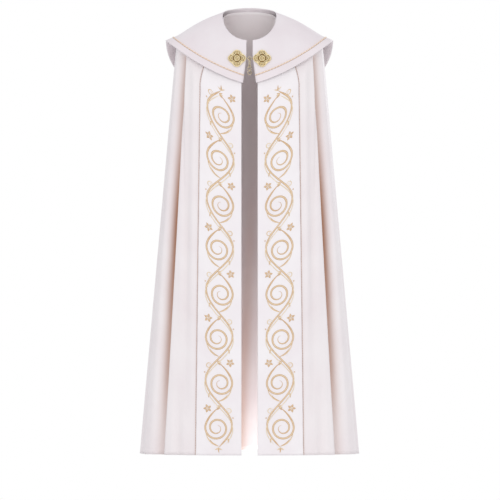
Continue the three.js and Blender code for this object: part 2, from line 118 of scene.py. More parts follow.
def light_world():
    """Even white light. What the camera sees behind the cope is brighter than what lights it."""
    world = bpy.data.worlds.new("studio")
    world.use_nodes = True
    tree = world.node_tree
    tree.nodes.clear()
    glow = add_node(tree, "ShaderNodeBackground", {"Color": (0.96, 0.97, 1, 1), "Strength": 0.8})
    white = add_node(tree, "ShaderNodeBackground", {"Color": (1, 1, 1, 1), "Strength": 1})
    seen = add_node(tree, "ShaderNodeLightPath")
    mixed = add_node(tree, "ShaderNodeMixShader", {0: seen.outputs["Is Camera Ray"],
                     1: glow.outputs[0], 2: white.outputs[0]})
    add_node(tree, "ShaderNodeOutputWorld", {"Surface": mixed.outputs[0]})
    bpy.context.scene.world = world


def lay_floor():
    bm = bmesh.new()
    bmesh.ops.create_grid(bm, x_segments=1, y_segments=1, size=FLOOR_HALF)
    bmesh.ops.translate(bm, verts=bm.verts, vec=(0, 0, COPE_LOW[2] - FLOOR_DROP))
    material, tree = new_material("studio_floor")
    surface(tree, {"Base Color": colour("fdfdfd"), "Roughness": 0.95})
    new_piece("floor", bm, [material])


# ---- Materials ----
def colour(sheet_hex):
    """An sRGB hex colour as linear values."""
    parts = [int(sheet_hex[i:i + 2], 16) / 255 for i in (0, 2, 4)]
    return tuple(p / 12.92 if p <= 0.04045 else ((p + 0.055) / 1.055) ** 2.4 for p in parts) + (1,)


def add_node(tree, kind, inputs=None, settings=None):
    """Adds a node. An input's value is a number, a colour or another node's output."""
    node = tree.nodes.new(kind)
    for key, value in (settings or {}).items():
        setattr(node, key, value)
    for key, value in (inputs or {}).items():
        if isinstance(value, bpy.types.NodeSocket):
            tree.links.new(value, node.inputs[key])
        else:
            node.inputs[key].default_value = value
    return node


def new_material(name):
    material = bpy.data.materials.new(name)
    material.use_nodes = True
    material.node_tree.nodes.clear()
    return material, material.node_tree


def surface(tree, inputs):
    shader = add_node(tree, "ShaderNodeBsdfPrincipled", inputs)
    add_node(tree, "ShaderNodeOutputMaterial", {"Surface": shader.outputs[0]})


def ramp(tree, factor, stops):
    """A colour ramp with (place, hex) stops."""
    node = add_node(tree, "ShaderNodeValToRGB", {"Fac": factor})
    elements = node.color_ramp.elements
    for element, (at, _) in zip(elements, (stops[0], stops[-1])):
        element.position = at
    for at, _ in stops[1:-1]:
        elements.new(at)
    for element, (_, sheet_hex) in zip(elements, stops):
        element.color = colour(sheet_hex)
    return node.outputs["Color"]


def noise(tree, at, scale, detail):
    texture = add_node(tree, "ShaderNodeTexNoise", {"Vector": at, "Scale": scale, "Detail": detail})
    return texture.outputs["Fac"]


def bump(tree, height, strength, distance=0.0003):
    values = {"Height": height, "Strength": strength, "Distance": distance}
    return add_node(tree, "ShaderNodeBump", values).outputs[0]


def coords(tree, kind="UV"):
    return add_node(tree, "ShaderNodeTexCoord").outputs[kind]


def weave_height(tree, thread_mm, float_mm):
    """Satin: long warp floats side by side, broken at staggered bindings. The UV map is in metres.
    The threads are drawn about three times as coarse as they are, so that they show."""
    uv = coords(tree)
    floats = add_node(tree, "ShaderNodeMapping",
                      {"Vector": uv, "Scale": (1, thread_mm / float_mm, 1)})
    threads = add_node(tree, "ShaderNodeTexNoise", {"Vector": floats.outputs[0],
                       "Scale": 1 / (thread_mm * MM), "Detail": 2, "Roughness": 0.6})
    mixed = {0: noise(tree, uv, 45, 3), 1: 0.35, 2: threads.outputs["Fac"]}
    return add_node(tree, "ShaderNodeMath", mixed, {"operation": "MULTIPLY_ADD"}).outputs[0]


def satin(name, light, shade, painted_shade_colour, roughness, sheen, relief):
    """Woven satin. "light" is the open cloth and "shade" its cloudy variation. The third colour is
    painted
    shade: inside a fold, as far as the mesh's "fold" attribute says, the cloth's colour is taken
    towards it, standing in for the darker, warmer light of a fold where light has met the cloth
    several times."""
    material, tree = new_material(name)
    ground = ramp(tree, noise(tree, coords(tree), 6, 4), [(0.35, light), (0.7, shade)])
    fold = add_node(tree, "ShaderNodeAttribute", settings={"attribute_name": "fold"})
    # Painted shade: the "fold" attribute mixes the cloth's colour towards the painted shade colour
    # inside folds.
    tint = add_node(tree, "ShaderNodeMix", {"Factor": fold.outputs["Fac"], "A": ground,
                    "B": colour(painted_shade_colour)}, {"data_type": "RGBA"})
    weave = bump(tree, weave_height(tree, 0.9, 7), relief)
    surface(tree, {"Base Color": tint.outputs["Result"], "Roughness": roughness,
                   "Sheen Weight": sheen, "Sheen Roughness": 0.4, "Specular IOR Level": 0.45,
                   "Normal": weave})
    return material


def stitched_silk(name, light, shade, roughness):
    """Rayon embroidery thread in satin stitch: glossy threads side by side across each stem."""
    material, tree = new_material(name)
    uv = coords(tree)
    lie = add_node(tree, "ShaderNodeMapping", {"Vector": uv, "Rotation": (0, 0, 0.35)})
    thread = add_node(tree, "ShaderNodeTexWave", {"Vector": lie.outputs[0], "Scale": 420,
                      "Distortion": 0.6, "Detail": 1}, {"bands_direction": "Y"})
    ground = ramp(tree, noise(tree, uv, 60, 2), [(0.35, light), (0.7, shade)])
    surface(tree, {"Base Color": ground, "Roughness": roughness, "Specular IOR Level": 0.5,
                   "Sheen Weight": 0.15, "Normal": bump(tree, thread.outputs["Fac"], 0.5)})
    return material


def twisted_cord(name, light, shade, twist_mm):
    """Cord of twisted yarn: slanting plies along its length."""
    material, tree = new_material(name)
    slant = add_node(tree, "ShaderNodeMapping", {"Vector": coords(tree), "Rotation": (0, 0, 0.8)})
    plies = add_node(tree, "ShaderNodeTexWave", {"Vector": slant.outputs[0],
                     "Scale": 0.16 / (twist_mm * MM), "Distortion": 0.3})
    # Painted shade: the colour follows the plies' relief, darker in the grooves between them.
    ground = ramp(tree, plies.outputs["Fac"], [(0.1, shade), (0.7, light)])
    surface(tree, {"Base Color": ground, "Roughness": 0.55,
                   "Normal": bump(tree, plies.outputs["Fac"], 0.6, 0.0006)})
    return material


def gilt_brass(name, bright, worn, roughness):
    """Cast brass with a gilt wash: bright where it is rubbed, duller in the pits of the casting."""
    material, tree = new_material(name)
    pits = noise(tree, coords(tree, "Object"), 420, 4)
    tone = ramp(tree, pits, [(0.35, worn), (0.6, bright)])
    surface(tree, {"Base Color": tone, "Metallic": 1, "Roughness": roughness,
                   "Normal": bump(tree, pits, 0.25)})
    return material


# ---- The cloak's form ----
HEM_Z = node_box("cloak_back")[0][2]
HEM_HALF_WIDTH = 358.5
FRONT_EDGE_X = 26
# Reach from the upright axis and height of three lines down the cloak, at the neck, at the turn of
# the shoulder and at the hem, and how far either side of the turn the cloth is rounded.
PROFILES = {
    "front": {"neck": (88, -60), "turn": (134, -215), "hem": (192, HEM_Z), "ease": 45},
    "side": {"neck": (84, 28), "turn": (237, -41), "hem": (HEM_HALF_WIDTH, HEM_Z), "ease": 26},
    "back": {"neck": (66, 50), "turn": (150, -120), "hem": (300, HEM_Z), "ease": 60},
}
SQUARENESS = {"neck": 2, "front": 2.5, "back": 2.15}
SHOULDER_LEVEL = 2
HEM_LEVEL = 3
STATIONS = {"collar": 1.5, "chest": 2.15, "hip": 2.45, "knee": 2.75, "hem": HEM_LEVEL}
FOLD_COLUMNS = ("name", "at", "half", "depth", "outer")


def rows_of(columns, rows):
    """A table's rows by the names of its columns. A short row leaves out its last ones."""
    return [dict(zip(columns, row)) for row in rows]


# Troughs of each front half: place along the cloth from the front edge and half width, at the
# shoulder and at the hem, and depth at each station. A negative depth is a ridge. A fold that has
# an "outer" half width falls in steeply from the front and comes out slowly towards the arm.
FRONT_FOLDS = rows_of(FOLD_COLUMNS, [
    ("side_trough", (206, 272), (17, 19), (2, 17, 32, 28, 20), (40, 54)),
    ("soft_trough", (180, 184), (22, 30), (0, 3, 6, 4, 0)),
    ("hem_trough", (204, 209), (18, 24), (0, 0, 0, 2, 6)),
    ("beside_arm", (300, 455), (34, 62), (0, 6, 15, 20, 24)),
])
FINE_CREASES = rows_of(FOLD_COLUMNS, [
    ("collar_crease", (205, 168), (8, 8), (2.5, 3.5, 0, 0, 0)),
    ("band_ridge", (158, 172), (16, 22), (0, -2, -2.5, -1, 0)),
    ("trough_lip", (236, 306), (14, 26), (0, -2, -3, -3, -2)),
    ("lobe_crease", (262, 372), (12, 24), (0, 1.5, 3, 3.5, 5)),
    ("under_collar", (232, 330), (9, 12), (2, 1.5, 0, 0, 0)),
])
# Troughs of the back, by their share of the way from its middle towards the front edges: -1 is the
# right front edge and 1 the left.
BACK_FOLDS = rows_of(FOLD_COLUMNS, [
    ("right_outer", (-0.41, -0.39), (36, 60), (0, 9, 20, 27, 31)),
    ("right_inner", (-0.21, -0.235), (30, 52), (0, 5, 14, 21, 25)),
    ("middle", (0.03, -0.04), (34, 56), (0, 8, 22, 29, 33)),
    ("left_inner", (0.2, 0.17), (26, 46), (0, 3, 10, 18, 22)),
    ("left_outer", (0.39, 0.37), (34, 58), (0, 8, 19, 26, 29)),
])
BACK_CREASES = rows_of(FOLD_COLUMNS, [
    ("right_blade", (-0.31, -0.315), (12, 22), (0, 2, 3, 3, 4)),
    ("left_blade", (0.29, 0.265), (10, 20), (0, 1.5, 2, 4, 5)),
    ("left_of_middle", (0.1, 0.06), (12, 20), (0, 2, 3, 2, 3)),
    ("right_of_middle", (-0.09, -0.13), (11, 18), (0, 1, 2, 4, 3)),
])
BAND_EDGE = (135, 148)
SEAM_SHARE = 0.53
SEAM_GAP = 0.3


def mix(a, b, t):
    return a + (b - a) * t


def smooth(t):
    t = np.clip(t, 0, 1)
    return t * t * (3 - 2 * t)


def profile_at(level, line):
    """Reach and height of one profile line at a level: 0 neck, 1 to 2 shoulder, 3 hem."""
    neck, turn, hem = (np.array(line[k], float) for k in ("neck", "turn", "hem"))
    start = turn + (neck - turn) / np.linalg.norm(neck - turn) * line["ease"]
    end = turn + (hem - turn) / np.linalg.norm(hem - turn) * line["ease"]
    if level <= 1:
        return mix(neck, start, level)
    if level >= 2:
        return mix(end, hem, level - 2)
    t = level - 1
    return start * (1 - t) ** 2 + turn * 2 * t * (1 - t) + end * t * t


ring_store = {}
RING_STEPS = 480
NORMAL_STEP = 2.0


def ring_at(level):
    """The plan of one half of the cloak at a level, from its front middle to its back middle."""
    key = round(level, 6)
    if key not in ring_store:
        front, side, back = (profile_at(level, PROFILES[k]) for k in ("front", "side", "back"))
        spread = min(level / SHOULDER_LEVEL, 1)
        turn = np.linspace(0, math.pi, RING_STEPS + 1)
        sin, cos = np.abs(np.sin(turn)), np.cos(turn)
        ahead = cos >= 0
        square = np.where(ahead, mix(SQUARENESS["neck"], SQUARENESS["front"], spread),
                          mix(SQUARENESS["neck"], SQUARENESS["back"], spread))
        reach = np.where(ahead, -front[0], back[0])
        x = side[0] * sin ** (2 / square)
        y = reach * np.abs(cos) ** (2 / square)
        shoulder_drop = np.where(ahead, cos ** 2, (cos ** 2 - cos) / 2)
        drop = mix(np.abs(cos), shoulder_drop, min(level, 1))
        z = mix(side[1], np.where(ahead, front[1], back[1]), drop)
        run = np.concatenate([[0], np.cumsum(np.hypot(np.diff(x), np.diff(y)))])
        half = RING_STEPS // 2
        start = np.interp(FRONT_EDGE_X, x[:half], run[:half])
        ring_store[key] = {"x": x, "y": y, "z": z, "run": run - start, "length": run[-1] - start}
    return ring_store[key]


def depth_at(level, depths):
    places = list(STATIONS.values())
    if level <= places[0]:
        return depths[0] * smooth(level - 0.5)
    for i in range(1, len(places)):
        if level <= places[i]:
            share = (level - places[i - 1]) / (places[i] - places[i - 1])
            return mix(depths[i - 1], depths[i], smooth(share))
    return depths[-1]


def guide_at(level, at):
    """Where a line down the cloth lies at a level; above the shoulder, lines close on the neck."""
    if level >= SHOULDER_LEVEL:
        return mix(at[0], at[1], level - SHOULDER_LEVEL)
    return at[0] * min(1, ring_at(level)["length"] / ring_at(SHOULDER_LEVEL)["length"])


def trough(away, half):
    return np.where(np.abs(away) < half, (1 + np.cos(np.pi * away / half)) / 2, 0)


def fold_depth(level, along, side):
    length = ring_at(level)["length"]
    share = float(np.clip(level - SHOULDER_LEVEL, 0, 1))
    depth = np.zeros_like(along)
    for fold in FRONT_FOLDS + FINE_CREASES:
        away = along - guide_at(level, fold["at"])
        outer = fold.get("outer", fold["half"])
        half = np.where(away > 0, mix(*outer, share), mix(*fold["half"], share))
        depth += depth_at(level, fold["depth"]) * trough(away, half)
    for fold in BACK_FOLDS + BACK_CREASES:
        half = mix(*fold["half"], share)
        away = side * (length - along) - mix(*fold["at"], share) * length
        depth += depth_at(level, fold["depth"]) * trough(away, half)
    return depth


def cloak_row(level, along, side):
    """Points of the cloak's outer face at one level."""
    ring = ring_at(level)

    def plan(at):
        x = np.interp(at, ring["run"], ring["x"])
        y = np.interp(at, ring["run"], ring["y"])
        return x, y

    x, y = plan(along)
    before, after = plan(along - NORMAL_STEP), plan(along + NORMAL_STEP)
    out = np.array([after[1] - before[1], before[0] - after[0]])
    out /= np.maximum(np.linalg.norm(out, axis=0), 1e-9)
    depth = fold_depth(level, along, side)
    z = np.interp(along, ring["run"], ring["z"])
    return np.stack([side * (x - out[0] * depth), y - out[1] * depth, z], axis=-1)


def unit(vectors):
    return vectors / np.maximum(np.linalg.norm(vectors, axis=-1, keepdims=True), 1e-9)


def facing(points, outward):
    """Unit normals of a grid of points, on the side that "outward" (+1 or -1) picks."""
    down = np.gradient(points, axis=0)
    across = np.gradient(points, axis=1)
    return unit(np.cross(across, down) * outward)


def cloak_grid(levels, columns_at, side):
    """The outer face as rows of points, with their places along and down the cloth."""
    rows, alongs = [], []
    for level in levels:
        along = columns_at(level)
        rows.append(cloak_row(level, along, side))
        alongs.append(along)
    return np.array(rows), np.array(alongs)


def run_down(points):
    """Length down each column of a grid from its first row."""
    steps = np.linalg.norm(np.diff(points, axis=0), axis=-1)
    return np.concatenate([np.zeros((1, points.shape[1])), np.cumsum(steps, axis=0)])


def lengths_along(path):
    """How far along a path each of its points lies."""
    return np.concatenate([[0], np.cumsum(np.linalg.norm(np.diff(path, axis=0), axis=-1))])


# ---- Meshes ----
def new_piece(name, bm, materials):
    """A mesh object in the scene, from a bmesh that this frees."""
    mesh = bpy.data.meshes.new(name)
    bm.to_mesh(mesh)
    bm.free()
    piece = bpy.data.objects.new(name, mesh)
    bpy.context.scene.collection.objects.link(piece)
    for material in materials:
        mesh.materials.append(material)
    return piece


def grid_places(verts, rows, cols):
    """The row and column of each vertex of a new grid."""
    return {v: (round((v.co.y + 1) / 2 * (rows - 1)), round((v.co.x + 1) / 2 * (cols - 1)))
            for v in verts}


def stand_for(piece, node, body="root"):
    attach(piece, body)
    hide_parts(node)


def sheet_mesh(name, points, uv, outward_at, materials, fold=None):
    """A sheet through a grid of points (rows, columns, 3) in mm, with its UV map in metres."""
    rows, cols = points.shape[:2]
    bm = bmesh.new()
    bmesh.ops.create_grid(bm, x_segments=cols - 1, y_segments=rows - 1, size=1)
    uv_layer = bm.loops.layers.uv.new("cloth")
    # The "fold" attribute carries painted fold shade, from 0 to 1, for the satin to mix in.
    painted_shade_layer = bm.verts.layers.float.new("fold")
    places = grid_places(bm.verts, rows, cols)
    for vert, place in places.items():
        vert.co = points[place] * MM
        if fold is not None:
            vert[painted_shade_layer] = fold[place]
    for face in bm.faces:
        for loop in face.loops:
            loop[uv_layer].uv = uv[places[loop.vert]] * MM
        face.smooth = True
    bm.normal_update()
    middle = min(bm.faces, key=lambda f: (f.calc_center_median() - Vector(outward_at[0])).length)
    if middle.normal.dot(Vector(outward_at[1])) < 0:
        bmesh.ops.reverse_faces(bm, faces=bm.faces)
    return new_piece(name, bm, materials)


def thicken(piece, thickness):
    """Gives a sheet its cloth's thickness, grown inwards from its face."""
    wall = piece.modifiers.new("cloth_thickness", "SOLIDIFY")
    wall.thickness = thickness * MM
    wall.offset = -1
    wall.use_rim = True


def outward_of(points, normals):
    row, col = points.shape[0] // 2, points.shape[1] // 2
    return points[row, col] * MM, normals[row, col]


# ---- The cloak ----
CLOAK_THICKNESS = 1.6
FRONT_COLUMNS = 150
BACK_COLUMNS = 210
CLOAK_ROWS = 200
SEAM_TUCK = 1.4
SEAM_HALF = 7
HEM_TURNING = 28


def cloak_levels(first=0.0, count=CLOAK_ROWS):
    """Levels from the neck edge to the hem, closer together round the shoulder."""
    share = np.linspace(0, 1, count)
    return first + (HEM_LEVEL - first) * mix(share ** 0.62, share, 0.35)


def tuck(points, normals, from_edge):
    """Draws the cloth in along a seam, with small puckers."""
    down = run_down(points)
    pucker = 1 + 0.35 * np.sin(down / 6.5) * np.sin(down / 17 + 1)
    depth = SEAM_TUCK * np.exp(-(from_edge / SEAM_HALF) ** 2) * pucker
    return points - normals * depth[..., None]


def hem_line(points, normals):
    """The hem's turning: a slight step where it is stitched."""
    up = run_down(points)[-1] - run_down(points)
    step = 0.5 * np.exp(-((up - HEM_TURNING) / 2.2) ** 2)
    return points - normals * step[..., None]


# How strongly painted shade darkens a front fold at each station, and the depth of fold in mm at
# which the painted shade is full.
FRONT_PAINTED_SHADE = (1.7, 1.6, 1, 0.72, 0.5)
FRONT_FULL_PAINTED_SHADE = 27
BACK_FULL_PAINTED_SHADE = 40
PAINTED_SHADE_POWER = 2.2


def painted_fold_shade(depth, full, strength=1):
    """How much painted shade a fold's depth puts on the cloth's colour, from 0 to 1."""
    return np.clip(strength * np.clip(depth / full, 0, 1) ** PAINTED_SHADE_POWER, 0, 1)


def cloak_panel(name, points, normals, along, seam, shade, material):
    """A panel of the cloak with its hem and side seam, from its plain form."""
    points = hem_line(tuck(points, normals, seam), normals)
    uv = np.stack([along, run_down(points)], axis=-1)
    piece = sheet_mesh(name, points, uv, outward_of(points, normals), [material], shade)
    thicken(piece, CLOAK_THICKNESS)
    return piece


def make_front(side, word, material):
    levels = cloak_levels()

    def columns(level):
        share = np.linspace(0, 1, FRONT_COLUMNS)
        return share * (ring_at(level)["length"] * SEAM_SHARE - SEAM_GAP / 2)

    points, along = cloak_grid(levels, columns, side)
    normals = facing(points, -side)
    seam = along[:, -1:] - along
    # Painted shade in the front folds: stronger high up, weaker towards the hem.
    depth = np.array([fold_depth(lv, al, side) for lv, al in zip(levels, along)])
    strength = np.interp(levels, list(STATIONS.values()), FRONT_PAINTED_SHADE)
    shade = painted_fold_shade(depth, FRONT_FULL_PAINTED_SHADE, strength[:, None])
    piece = cloak_panel(f"front_cloth_{word}", points, normals, along, seam, shade, material)
    stand_for(piece, f"cloak_front_{word}")


def make_back(material):
    levels = cloak_levels()
    rows, alongs, depths = [], [], []
    for level in levels:
        length = ring_at(level)["length"]
        across = np.linspace(-1, 1, BACK_COLUMNS)
        side = np.where(across < 0, -1.0, 1.0)
        along = length - np.abs(across) * (length * (1 - SEAM_SHARE) - SEAM_GAP / 2)
        rows.append(cloak_row(level, along, side))
        depths.append(fold_depth(level, along, side))
        alongs.append(side * (length - along))
    points = np.array(rows)
    along = np.array(alongs)
    normals = facing(points, 1)
    seam = np.abs(along[:, -1:]) - np.abs(along)
    # Painted shade in the back folds.
    shade = painted_fold_shade(np.array(depths), BACK_FULL_PAINTED_SHADE)
    piece = cloak_panel("back_cloth", points, normals, along, seam, shade, material)
    stand_for(piece, "cloak_back")


# ---- The front bands ----
BAND_FIRST_LEVEL = 0.7
BAND_COLUMNS = 56
BAND_ROWS = 260
BAND_THICKNESS = 1.2
BAND_LIFT = 0.3
PIPING_RADIUS = 1.1
CORD_SIDES = 8


def band_grid(side):
    levels = cloak_levels(BAND_FIRST_LEVEL, BAND_ROWS)
    points, along = cloak_grid(
        levels, lambda level: np.linspace(0, 1, BAND_COLUMNS) * guide_at(level, BAND_EDGE), side)
    return points, along, facing(points, -side)


def band_face(side):
    """The band's outer face: flat, with its turned edges a little rounded and puckered."""
    points, along, normals = band_grid(side)
    from_edge = np.minimum(along, along[:, -1:] - along)
    down = run_down(points)
    pucker = 0.35 * np.sin(down / 9 + 2 * np.sin(down / 60)) * np.exp(-from_edge / 9)
    roll = 0.9 * np.exp(-(from_edge / 2.2) ** 2)
    lift = BAND_LIFT + BAND_THICKNESS + pucker - roll * 0.4
    return points + normals * lift[..., None], along, down, normals


def make_band(side, word, material):
    points, along, down, normals = band_face(side)
    uv = np.stack([along, down], axis=-1)
    name = f"embroidered_band_{word}"
    piece = sheet_mesh(name, points, uv, outward_of(points, normals), [material])
    thicken(piece, BAND_THICKNESS)
    stand_for(piece, f"front_band_{word}")


def rings_along(route, first, second, radius, sides):
    """A tube's points: rings about its route, each in the plane of two directions."""
    turn = np.linspace(0, 2 * math.pi, sides + 1)
    rings = (np.cos(turn)[None, :, None] * first[:, None]
             + np.sin(turn)[None, :, None] * second[:, None])
    return route[:, None] + radius * rings, turn * radius


def sewn_cord(route, normals, radius, flat=1.0):
    """A round cord along a route of points, its section turned by the cloth's normals."""
    aside = np.cross(unit(np.gradient(route, axis=0)), normals)
    points, girth = rings_along(route, aside, flat * normals, radius, CORD_SIDES)
    uv = np.broadcast_arrays(girth[None], lengths_along(route)[:, None])
    return points, np.stack(uv, axis=-1), 0


def join_tubes(name, tubes, materials):
    """One mesh of closed tubes, each given as (points, uv, material number)."""
    bm = bmesh.new()
    uv_layer = bm.loops.layers.uv.new("cloth")
    for points, uv, number in tubes:
        rows, cols = points.shape[:2]
        made = bmesh.ops.create_grid(bm, x_segments=cols - 1, y_segments=rows - 1, size=1)["verts"]
        places = grid_places(made, rows, cols)
        faces = {face for vert in made for face in vert.link_faces}
        for vert, place in places.items():
            vert.co = points[place] * MM
        for face in faces:
            face.smooth = True
            face.material_index = number
            for loop in face.loops:
                loop[uv_layer].uv = uv[places[loop.vert]] * MM
        bmesh.ops.remove_doubles(bm, verts=made, dist=1e-6)
        made = [v for v in made if v.is_valid]
        rims = [e for e in {e for v in made for e in v.link_edges} if e.is_boundary]
        if rims:
            bmesh.ops.holes_fill(bm, edges=rims, sides=0)
        faces = list({face for vert in made for face in vert.link_faces})
        bmesh.ops.recalc_face_normals(bm, faces=faces)
    return new_piece(name, bm, materials)


def make_band_cord(side, word, material):
    levels = cloak_levels(BAND_FIRST_LEVEL, BAND_ROWS)
    beside = PIPING_RADIUS + 0.2
    points, _ = cloak_grid(
        levels, lambda level: guide_at(level, BAND_EDGE) + beside + np.array([-2.0, 0, 2.0]), side)
    normals = facing(points, -side)[:, 1]
    route = points[:, 1] + normals * (PIPING_RADIUS + SEAM_GAP)
    cord = sewn_cord(route, normals, PIPING_RADIUS)
    piece = join_tubes(f"band_cord_{word}", [cord], [material])
    stand_for(piece, f"band_piping_{word}")


# ---- The embroidery ----
# A running scroll: one stem winds down the band, and a volute curls into each of its bends, with
# small leaves, tendrils, berries and five-petalled blossoms. Places are (across from the band's
# middle, down from the scroll's top) in mm, for the wearer's left band; the right one mirrors it.
SCROLL_TOP_Z = -213
SCROLL_BENDS = 8
SCROLL_HALF_PERIOD = 144
STEM_SWING = 43
VOLUTE_REACH = 37
VOLUTE_EYE = 9
VOLUTE_TURNS = 1.7
STITCH_RISE = 1.1
STITCH_STEP = 2.6
# A ribbon's section, across and up in shares of its half width and rise, back to its start.
RIBBON = ((-1, 0), (-0.72, 0.8), (0, 1), (0.72, 0.8), (1, 0), (0, -0.25), (-1, 0))
TAN, PEACH, CREAM = 0, 1, 2


def bezier(points, count):
    t = np.linspace(0, 1, count)[:, None]
    a, b, c, d = (np.array(p, float) for p in points)
    return a * (1 - t) ** 3 + 3 * b * t * (1 - t) ** 2 + 3 * c * t * t * (1 - t) + d * t ** 3


def even_steps(path, step):
    """A path again, as points a nearly even step apart."""
    run = lengths_along(path)
    at = np.linspace(0, run[-1], max(6, int(run[-1] / step)))
    return np.stack([np.interp(at, run, path[:, 0]), np.interp(at, run, path[:, 1])], axis=-1)


def stroke(path, width, shade, taper=(0.25, 0.25), belly=0.5, rise=1.0):
    """One worked line: its path, full width in mm, thread shade, how much of each end tapers, and
    where along it is widest, which is not used."""
    return {"path": np.array(path), "width": width, "shade": shade, "taper": taper,
            "belly": belly, "rise": rise}


def volute(centre, reach, eye, start_angle, turns, spin):
    """A spiral curling in from its reach to its eye. Angles run from +across towards down."""
    t = np.linspace(0, 1, 90)
    angle = start_angle + spin * 2 * math.pi * turns * t
    radius = mix(reach, eye, t ** 1.15)
    x, y = centre[0] + radius * np.cos(angle), centre[1] + radius * np.sin(angle)
    return np.stack([x, y], axis=-1)


def leaf(root, angle, length, width, bend, shade):
    """A pointed leaf that leaves its root at an angle and bends as it goes."""
    t = np.linspace(0, 1, 12)
    heading = angle + bend * t
    steps = np.stack([np.cos(heading), np.sin(heading)], axis=-1) * length / 11
    path = np.array(root) + np.concatenate([[[0, 0]], np.cumsum(steps[:-1], axis=0)])
    return stroke(path, width, shade, (0.35, 0.65), 0.4)


def petals(centre, reach, count, turn, shade, eye_shade):
    strokes = []
    for i in range(count):
        angle = turn + 2 * math.pi * i / count
        start = np.array(centre) + 0.22 * reach * np.array([math.cos(angle), math.sin(angle)])
        strokes.append(leaf(start, angle, reach * 0.8, reach * 0.62, 0.15, shade))
    strokes.append(berry(centre, reach * 0.2, eye_shade))
    return strokes


def berry(centre, radius, shade):
    path = np.array(centre) + np.linspace(-1, 1, 7)[:, None] * np.array([0, radius])
    return stroke(path, radius * 2, shade, (0.5, 0.5), 0.5, 1.25)


def stem_at(down):
    """The stem's place across the band: it starts and ends on the band's middle."""
    return STEM_SWING * np.sin(math.pi * down / SCROLL_HALF_PERIOD)


def bend_strokes(index):
    """What grows in one bend of the stem."""
    lean = 1 if index % 2 == 0 else -1
    top = index * SCROLL_HALF_PERIOD
    centre = (-lean * 6, top + SCROLL_HALF_PERIOD * 0.56)
    start = math.pi if lean > 0 else 0
    spiral = volute(centre, VOLUTE_REACH, VOLUTE_EYE, start, VOLUTE_TURNS, -lean)
    root = (stem_at(top + 9), top + 9)
    branch = bezier([root, (root[0] - lean * 20, root[1] + 12),
                     (spiral[0][0], spiral[0][1] - 26), spiral[0]], 20)
    curve = np.concatenate([branch[:-1], spiral])
    # The narrower peach line raised down the middle of the tan one is in part a second thread
    # colour and in part a painted highlight along the ribbon's crown.
    strokes = [stroke(curve, 6.2, TAN, (0.2, 0.25), 0.3),
               stroke(curve[8:-6], 3.4, PEACH, (0.2, 0.35), 0.3, 1.3)]
    for angle, length, shade in ((0.2, 17, TAN), (0.75, 14, PEACH), (1.35, 11, TAN)):
        heading = math.pi / 2 + lean * (angle + 0.25)
        foot = (root[0] - lean * 3, root[1] + 2)
        strokes.append(leaf(foot, heading, length, 4.6, lean * 0.7, shade))
    low = (stem_at(top + 112), top + 112)
    strokes.append(leaf(low, math.pi / 2 - lean * 0.7, 18, 4.8, lean * 0.9, TAN))
    strokes.append(leaf(low, math.pi / 2 - lean * 0.1, 14, 4, -lean * 0.8, CREAM))
    curl = volute((lean * 33, top + 26), 9.5, 2.6, math.pi * (0.5 + 0.5 * lean), 1.35, lean)
    strokes.append(stroke(curl, 2.8, CREAM if index % 3 else PEACH, (0.35, 0.4)))
    for step, size in ((0, 2.5), (1, 2.1), (2, 1.7)):
        strokes.append(berry((lean * (46 - 3.5 * step), top + 48 + 7.5 * step), size,
                             PEACH if step % 2 else TAN))
    cross = top + SCROLL_HALF_PERIOD
    spray = bezier([(lean * 2, cross - 4), (-lean * 26, cross - 10), (-lean * 44, cross - 34),
                    (-lean * 41, cross - 62)], 30)
    strokes.append(stroke(spray, 3.6, PEACH, (0.3, 0.6), 0.4))
    inner = bezier([(lean * 1, cross - 5), (-lean * 18, cross - 12), (-lean * 25, cross - 20),
                    (-lean * 29, cross - 29)], 16)
    strokes.append(stroke(inner, 3.0, TAN, (0.3, 0.6), 0.4))
    strokes += petals((-lean * 36, top + 14 + 5 * (index % 2)), 13.5, 5, 0.9 * index, TAN, PEACH)
    return strokes


def scroll_strokes():
    length = SCROLL_BENDS * SCROLL_HALF_PERIOD
    down = np.linspace(0, length, 420)
    stem = np.stack([stem_at(down), down], axis=-1)
    beside = np.stack([stem_at(down - 13) * 1.06, down], axis=-1)
    # The narrower peach line raised down the middle of the tan stem is in part a second thread
    # colour and in part a painted highlight along the ribbon's crown.
    strokes = [stroke(stem, 5.4, TAN, (0.02, 0.02)),
               stroke(stem[4:-4], 2.8, PEACH, (0.02, 0.02), 0.5, 1.3),
               stroke(beside[6:-4], 2.6, CREAM, (0.02, 0.02))]
    for index in range(SCROLL_BENDS):
        strokes += bend_strokes(index)
    for end, way in ((0.0, -1), (length, 1)):
        heading = way * math.pi / 2
        strokes.append(leaf((0, end), heading, 17, 5, 0.3, TAN))
        for lean in (-1, 1):
            strokes.append(leaf((0, end), heading + lean * 0.8, 14, 4.4, lean * 0.5, PEACH))
    return strokes


def stitched_ribbon(item, band, order):
    """A closed raised ribbon along a stroke, laid on the band's face."""
    path = even_steps(item["path"], STITCH_STEP)
    count = len(path)
    share = np.linspace(0, 1, count)
    start, end = item["taper"]
    swell = np.minimum(np.clip(share / start, 0, 1), np.clip((1 - share) / end, 0, 1))
    half = item["width"] / 2 * (0.12 + 0.88 * np.sin(swell * math.pi / 2) ** 1.2)
    along = unit(np.gradient(path, axis=0))
    aside = np.stack([-along[:, 1], along[:, 0]], axis=-1)
    rise = STITCH_RISE * item["rise"] * (0.35 + 0.65 * half / half.max()) + 0.02 * order
    points = np.zeros((count, len(RIBBON), 3))
    for i, (across, up) in enumerate(RIBBON):
        spot = path + aside * (half * across)[:, None]
        points[:, i] = band_spot(band, spot[:, 0], spot[:, 1], rise * up)
    run = lengths_along(path)
    across = np.array([(i - 2) * item["width"] / 4 for i in range(len(RIBBON))])
    uv = np.stack(np.broadcast_arrays(across[None, :], run[:, None]), axis=-1)
    return points, uv, item["shade"]


